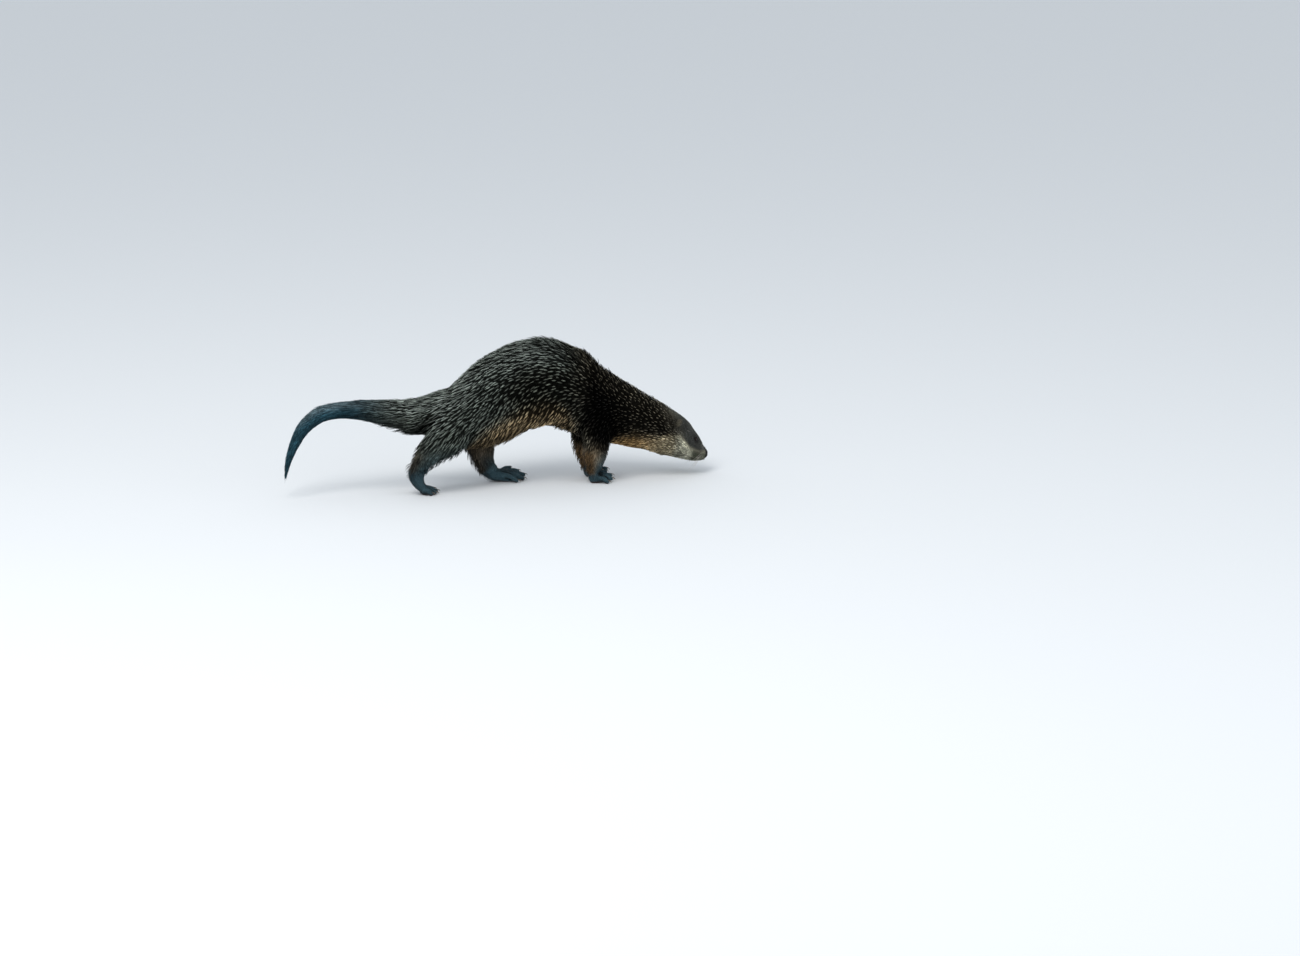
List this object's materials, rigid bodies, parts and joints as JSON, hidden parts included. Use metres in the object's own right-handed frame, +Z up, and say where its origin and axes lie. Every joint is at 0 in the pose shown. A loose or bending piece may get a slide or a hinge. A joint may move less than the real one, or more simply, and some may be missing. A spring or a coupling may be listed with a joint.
{
  "type": "river otter",
  "caption": "Life-size adult river otter loping with a high arched back, low head, webbed feet and a thick tapering tail curved down behind.",
  "frame": {"origin": "on the floor, under the middle of the animal's bounding box", "axes": "+X towards the head, +Y to the animal's left, +Z up"},
  "size_m": [0.9616, 0.1674, 0.328],
  "materials": {
    "coat_dark": "short dense brown-black fur with a soft sheen",
    "coat_warm": "short dense warm brown fur",
    "coat_pale": "short pale buff fur",
    "tail_coat": "sleek, flat, dark grey-brown fur",
    "foot_skin": "thin fur over dark webbed skin",
    "nose_skin": "bare moist black skin",
    "eye_dark": "wet, dark brown",
    "claw_horn": "worn brown horn"
  },
  "bodies": {
    "root": {"tail_tip": "tail_coat", "tail_middle": "tail_coat", "tail_base": "tail_coat", "rump": "coat_dark", "loin": "coat_dark", "chest": "coat_dark", "neck": "coat_dark", "head": "coat_dark", "lower_jaw": "coat_pale", "nose_pad": "nose_skin", "eye_left": "eye_dark", "eye_right": "eye_dark", "ear_left": "coat_dark", "ear_right": "coat_dark", "foreleg_left": "coat_warm", "foreleg_right": "coat_warm", "hindleg_left": "coat_warm", "hindleg_right": "coat_warm", "forepaw_left": "foot_skin", "forepaw_right": "foot_skin", "hindfoot_left": "foot_skin", "hindfoot_right": "foot_skin", "claw_forepaw_left_1": "claw_horn", "claw_forepaw_left_2": "claw_horn", "claw_forepaw_left_3": "claw_horn", "claw_forepaw_left_4": "claw_horn", "claw_forepaw_left_5": "claw_horn", "claw_forepaw_right_1": "claw_horn", "claw_forepaw_right_2": "claw_horn", "claw_forepaw_right_3": "claw_horn", "claw_forepaw_right_4": "claw_horn", "claw_forepaw_right_5": "claw_horn", "claw_hindfoot_left_1": "claw_horn", "claw_hindfoot_left_2": "claw_horn", "claw_hindfoot_left_3": "claw_horn", "claw_hindfoot_left_4": "claw_horn", "claw_hindfoot_left_5": "claw_horn", "claw_hindfoot_right_1": "claw_horn", "claw_hindfoot_right_2": "claw_horn", "claw_hindfoot_right_3": "claw_horn", "claw_hindfoot_right_4": "claw_horn", "claw_hindfoot_right_5": "claw_horn"}
  },
  "joints": []
}
